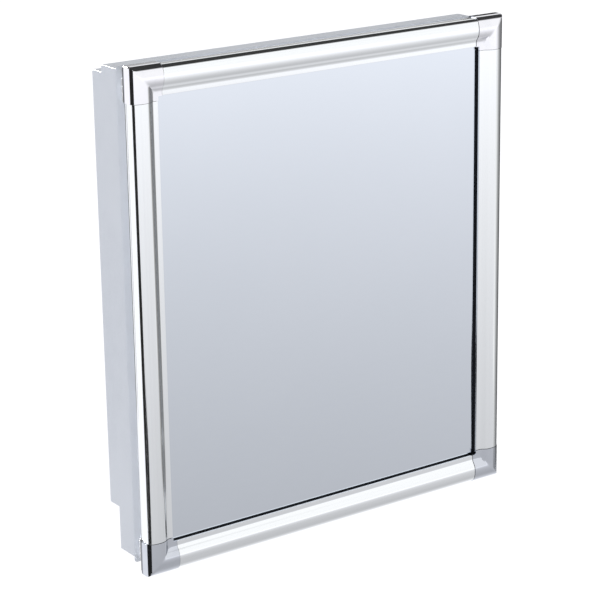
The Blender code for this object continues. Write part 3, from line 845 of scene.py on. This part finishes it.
def set_screws(look):
    """One screw modelled for each size and copied to its places."""
    rows = (("screw_door_leaf", (0, 1, 0), 0.0020, 0.0010, 0.0050),
            ("screw_case_leaf", (-1, 0, 0), 0.0018, 0.0010, 0.0050),
            ("screw_catch", (-1, 0, 0), 0.0020, 0.0010, 0.0083),
            ("wall_screw", (0, -1, 0), 0.0040, 0.0020, 0.0026))
    for stem, facing, head, shank, length in rows:
        model = screw(stem + "_model", head, shank, length)
        turn = Vector(facing).to_track_quat("Z", "Y").to_matrix().to_4x4()
        for count, node in enumerate(n for n in sorted(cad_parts) if n.startswith(stem)):
            low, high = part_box(node)
            seat = (low + high) / 2
            axis = 1 if facing[1] else 0
            head_end = high[axis] if facing[axis] > 0 else low[axis]
            seat[axis] = head_end - facing[axis] * head * 0.55
            piece = copy_of(model, node + "_cross_head")
            spin = Matrix.Rotation(0.4 + 1.1 * count, 4, "Z")
            piece.data.transform(Matrix.Translation(seat) @ turn @ spin)
            finish(piece, "door" if "door" in node else "case", "screw_zinc", look, node)
        bpy.data.objects.remove(model)


def plate(name, low, high, round_edge=0.0002):
    """A flat plate with softened edges."""
    piece = block(name, low, high)
    soften(piece, round_edge, 2)
    return piece


def hinges(look):
    """Butt hinges: rolled knuckles on bevelled leaves, and a headed pin."""
    for end in ("top", "bottom"):
        low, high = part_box("hinge_pin_" + end)
        axis_x, axis_y = (low.x + high.x) / 2, (low.y + high.y) / 2
        leaf_low, leaf_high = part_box("hinge_case_leaf_" + end)
        span = leaf_high.z - leaf_low.z
        gap, half = 0.0003, LEAF_THICK / 2
        third = span / 3
        radius, bore = 0.0019, 0.0009

        def knuckle(name, z0, z1):
            made = round_bar(name, (axis_x, axis_y, z0), (axis_x, axis_y, z1), radius, 36)
            choose(made, "FACE", lambda at, normal: abs(normal.z) > 0.9)
            bpy.ops.mesh.inset(thickness=radius - bore)
            bpy.ops.mesh.delete(type="FACE")
            soften(made, 0.00015, 2, 60)
            return made

        base = leaf_low.z
        face_x = leaf_high.x
        parts = [plate("leaf", (face_x - LEAF_THICK, axis_y - half, base),
                       (face_x, leaf_high.y, leaf_high.z)),
                 plate("link", (axis_x + radius - 0.0002, axis_y - half, base),
                       (face_x - 0.0002, axis_y + half, leaf_high.z), 0.00015)]
        for z0, z1 in ((base, base + third), (leaf_high.z - third, leaf_high.z)):
            parts.append(knuckle("knuckle", z0, z1))
            parts.append(plate("tab", (axis_x + bore, axis_y - half, z0),
                               (axis_x + radius + LEAF_THICK, axis_y + half, z1), 0.00012))
        leaf = joined(f"hinge_case_leaf_{end}_rolled", *parts)
        smooth(leaf, 34)
        finish(leaf, "case", "hinge_steel", look, "hinge_case_leaf_" + end)

        low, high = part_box("hinge_door_leaf_" + end)
        near = FRONT + 0.0173
        z0, z1 = base + third + gap, leaf_high.z - third - gap
        parts = [plate("leaf", (axis_x + radius + gap, near, low.z),
                       (high.x, near + LEAF_THICK, high.z)),
                 knuckle("knuckle", z0, z1),
                 plate("tab", (axis_x + bore, near, z0),
                       (axis_x + radius + LEAF_THICK, near + LEAF_THICK, z1), 0.00012)]
        leaf = joined(f"hinge_door_leaf_{end}_rolled", *parts)
        smooth(leaf, 34)
        finish(leaf, "door", "hinge_steel", look, "hinge_door_leaf_" + end)

        low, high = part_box("hinge_pin_" + end)
        pin = round_bar("pin", (axis_x, axis_y, low.z), (axis_x, axis_y, high.z), 0.0008, 24)
        close_edit()
        heads = [pin]
        for z0, z1 in ((low.z, low.z + 0.0007), (high.z - 0.0007, high.z)):
            cap = round_bar("head", (axis_x, axis_y, z0), (axis_x, axis_y, z1), 0.0016, 32)
            soften(cap, 0.0003, 3, 40)
            heads.append(cap)
        pin = joined(f"hinge_pin_{end}_headed", *heads)
        smooth(pin, 40)
        finish(pin, "case", "hinge_steel", look, "hinge_pin_" + end)


def catch(plastic, shelf, steel, ferrite):
    """The magnetic catch: a bevelled housing, the magnet between steel cheeks, and the strike."""
    low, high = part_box("catch_housing")
    housing = block("catch_housing_moulded", low, high)
    choose(housing, "FACE", lambda at, normal: normal.y < -0.9)
    bpy.ops.mesh.inset(thickness=0.0012)
    pull(0.0, 0.0006, 0.0)
    close_edit()
    inner_low, inner_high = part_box("catch_magnet")
    grow = Vector((0.0003, 0.0003, 0.0003))
    tool = block("pocket", inner_low - grow - Vector((0, 0.01, 0)), inner_high + grow)
    cut_away(housing, tool)
    for i in (1, 2):
        at = middle(f"screw_catch_{i}")
        cut_away(housing, round_bar("hole", (low.x - 0.003, at.y, at.z),
                                    (low.x + 0.0092, at.y, at.z), LEAF_SCREW_HOLE, 24))
    soften(housing, 0.0006, 3, 50)
    smooth(housing, 36)
    finish(housing, "case", "case_plastic", plastic, "catch_housing")

    width = inner_high.x - inner_low.x
    parts = []
    for x0, x1, back in ((0.0, 0.22, 0.0), (0.26, 0.74, 0.0004), (0.78, 1.0, 0.0)):
        parts.append(plate("cheek", (inner_low.x + width * x0, inner_low.y + back, inner_low.z),
                           (inner_low.x + width * x1, inner_high.y, inner_high.z), 0.0002))
    cheeks = joined("catch_magnet_cheeks", parts[0], parts[2])
    smooth(cheeks)
    finish(cheeks, "case", "hinge_steel", steel)
    core = parts[1]
    core.name = core.data.name = "catch_magnet_core"
    smooth(core)
    finish(core, "case", "magnet_black", ferrite, "catch_magnet")

    low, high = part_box("strike_plate")
    strike = block("strike_plate_pressed", low, high)
    choose(strike, "FACE", lambda at, normal: normal.y > 0.9)
    bpy.ops.mesh.inset(thickness=0.0012)
    pull(0.0, -0.0003, 0.0)
    soften(strike, 0.00025, 2, 30)
    smooth(strike)
    finish(strike, "door", "hinge_steel", steel, "strike_plate")
    low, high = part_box("strike_block")
    base = block("strike_block_moulded", low, high)
    choose(base, "FACE", lambda at, normal: normal.y > 0.9)
    bpy.ops.mesh.inset(thickness=0.0005)
    soften(base, 0.0008, 4, 40)
    smooth(base)
    finish(base, "door", "shelf_plastic", shelf, "strike_block")


def bumpers(look):
    """Two soft domed stops."""
    for end in ("top", "bottom"):
        low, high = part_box("bumper_" + end)
        at = (low + high) / 2
        radius = (high.x - low.x) / 2
        dome = round_bar(f"bumper_{end}_domed", (at.x, high.y, at.z),
                         (at.x, low.y + 0.0005, at.z), radius, 40)
        choose(dome, "FACE", lambda at, normal: normal.y < -0.9)
        for reach, rise in ((0.86, 0.0002), (0.72, 0.00018), (0.5, 0.00012)):
            pull(0.0, -rise, 0.0)
            bpy.ops.transform.resize(value=(reach, 1.0, reach))
        smooth(dome, 60)
        finish(dome, "case", "bumper_rubber", look, "bumper_" + end)


# ---------------------------------------------------------------- studio

def floor_tone(f):
    """The floor's brightness: soft grey before the door, brighter outwards, white behind."""
    x, y, _ = f.axes()
    away = f.clamp(f.math("SQRT", x * x + y * y), 0.0, 6.5)
    front = f.clamp(0.40 + away * 0.175 - away * away * 0.008, 0.55, 1.12)
    behind = f.fade(y, -0.5, 0.3)
    return front + (1.06 - front) * behind


def card(name, at, facing, size, tone):
    """A plain card that only the metal sees, of one tone or a tone that changes along Y."""
    select_none()
    turn = {"x": (0, radians(90), 0), "y": (radians(90), 0, 0), "z": (0, 0, 0)}[facing]
    bpy.ops.mesh.primitive_plane_add(size=1.0, location=at, rotation=turn)
    made = bpy.context.active_object
    made.scale = (size[1], size[0], 1.0) if facing == "x" else (size[0], size[1], 1.0)
    begin(name)
    close_edit()
    c = Finish(name + "_paper", Roughness=1.0, Base_Color=(0.0, 0.0, 0.0),
               Specular_IOR_Level=0.0, Emission_Strength=1.0)
    c.set(Emission_Color=c.grey(tone(c, c.axes()[1]) if callable(tone) else tone))
    made.data.materials.append(c.material)
    made.visible_camera = made.visible_diffuse = made.visible_shadow = False
    made.visible_transmission = False


def lamp(name, at, size, power, seen_in_metal):
    """A square soft light aimed at the middle of the door."""
    light = bpy.data.lights.new(name, "AREA")
    light.shape, light.size, light.energy = "SQUARE", size, power
    made = bpy.data.objects.new(name, light)
    bpy.context.scene.collection.objects.link(made)
    made.location = at
    made.rotation_euler = (-Vector(at)).to_track_quat("-Z", "Y").to_euler()
    made.visible_glossy = seen_in_metal
    made.visible_camera = False
    return made


def studio():
    """A pale floor well below the cabinet, a white room for the eye, and cards for the metal."""
    select_none()
    bpy.ops.mesh.primitive_grid_add(x_subdivisions=8, y_subdivisions=8, size=60.0,
                                    location=(0, 0, FLOOR_HEIGHT))
    floor = bpy.context.active_object
    floor.name = "floor"
    f = Finish("floor_paper", Roughness=1.0, Specular_IOR_Level=0.0, Emission_Strength=1.0)
    grain = f.noise(40.0, 3.0, 0.6)
    tone = floor_tone(f) * (0.995 + grain * 0.01)
    f.set(Base_Color=f.mix(grain, (0.02, 0.02, 0.02), (0.03, 0.03, 0.03)),
          Emission_Color=f.grey(tone, tone * 1.02))
    floor.data.materials.append(f.material)

    world = bpy.data.worlds.new("studio")
    world.use_nodes = True
    bpy.context.scene.world = world
    w = Nodes(world.node_tree)
    _, _, z = w.axes(w.node("TexCoord", out="Generated"))
    room = 1.04 - w.fade(z, 0.57, 0.70)
    glossy = w.node("LightPath", out="Is Glossy Ray")
    diffuse = w.node("LightPath", out="Is Diffuse Ray")
    plain = 1.03 - diffuse * (0.31 + w.fade(z, 0.1, 0.8) * 0.14)
    tone = plain * (1.0 - glossy) + room * glossy
    background = world.node_tree.nodes["Background"]
    w.feed(background.inputs["Color"], w.grey(tone))
    background.inputs["Strength"].default_value = 1.0

    def darker_back(c, y):
        return 0.92 - c.fade(y, -1.25, -0.55) * 0.62 - c.fade(y, -0.45, 0.10) * 0.24

    card("card_left", (-1.5, -0.82, 0.08), "x", (1.64, 1.64), 0.020)
    card("card_left_low", (-1.16, -0.82, CARD_ON_FLOOR), "z", (0.66, 1.64), 0.020)
    card("card_right", (1.5, 0.10, 0.08), "x", (2.90, 1.64), darker_back)
    card("card_right_low", (1.37, 0.275, CARD_ON_FLOOR), "z", (0.24, 2.55), darker_back)
    card("card_high", (1.15, 1.75, 0.86), "y", (1.9, 0.62), 0.46)
    card("card_back", (0.20, 1.7, -0.27), "y", (1.90, 0.94), 0.05)
    lamp("soft_key", (-1.5, -2.4, 2.2), 1.8, 9.0, False)
    lamp("edge_light", (-0.85, 2.1, 1.55), 0.7, 420.0, True).visible_diffuse = False
    bpy.context.scene.view_settings.view_transform = "Standard"


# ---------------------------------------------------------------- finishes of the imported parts

def dress_nodes():
    """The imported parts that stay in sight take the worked-up finishes."""
    looks = {"case_plastic": moulded_plastic("case_plastic_moulded", (0.685, 0.722, 0.790),
                                             (0.650, 0.688, 0.758), 0.29),
             "shelf_plastic": moulded_plastic("shelf_plastic_moulded", (0.77, 0.78, 0.82),
                                              (0.72, 0.73, 0.78), 0.36),
             "key_plastic": moulded_plastic("key_plastic_moulded", (0.105, 0.107, 0.115),
                                            (0.075, 0.077, 0.084), 0.5),
             "frame_aluminium": polished_aluminium("frame_aluminium_bead", "z"),
             "corner_chrome": corner_chrome(),
             "mirror_silver": mirror_silver(),
             "backing_board": backing_board(),
             "hinge_steel": hinge_steel(),
             "screw_zinc": screw_zinc(),
             "magnet_black": magnet_black(),
             "bumper_rubber": bumper_rubber()}
    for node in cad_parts.values():
        for place in node.material_slots:
            name = place.material.name.split(".")[0]
            if name in looks:
                place.material = looks[name]
    return looks


set_camera()
studio()
looks = dress_nodes()
rails()
corner_pieces(looks["corner_chrome"])
mirror(looks["mirror_silver"])
case_shell(looks["case_plastic"])
case_rim(looks["case_plastic"])
shelves(looks["shelf_plastic"])
set_screws(looks["screw_zinc"])
hinges(looks["hinge_steel"])
catch(looks["case_plastic"], looks["shelf_plastic"], looks["hinge_steel"], looks["magnet_black"])
bumpers(looks["bumper_rubber"])
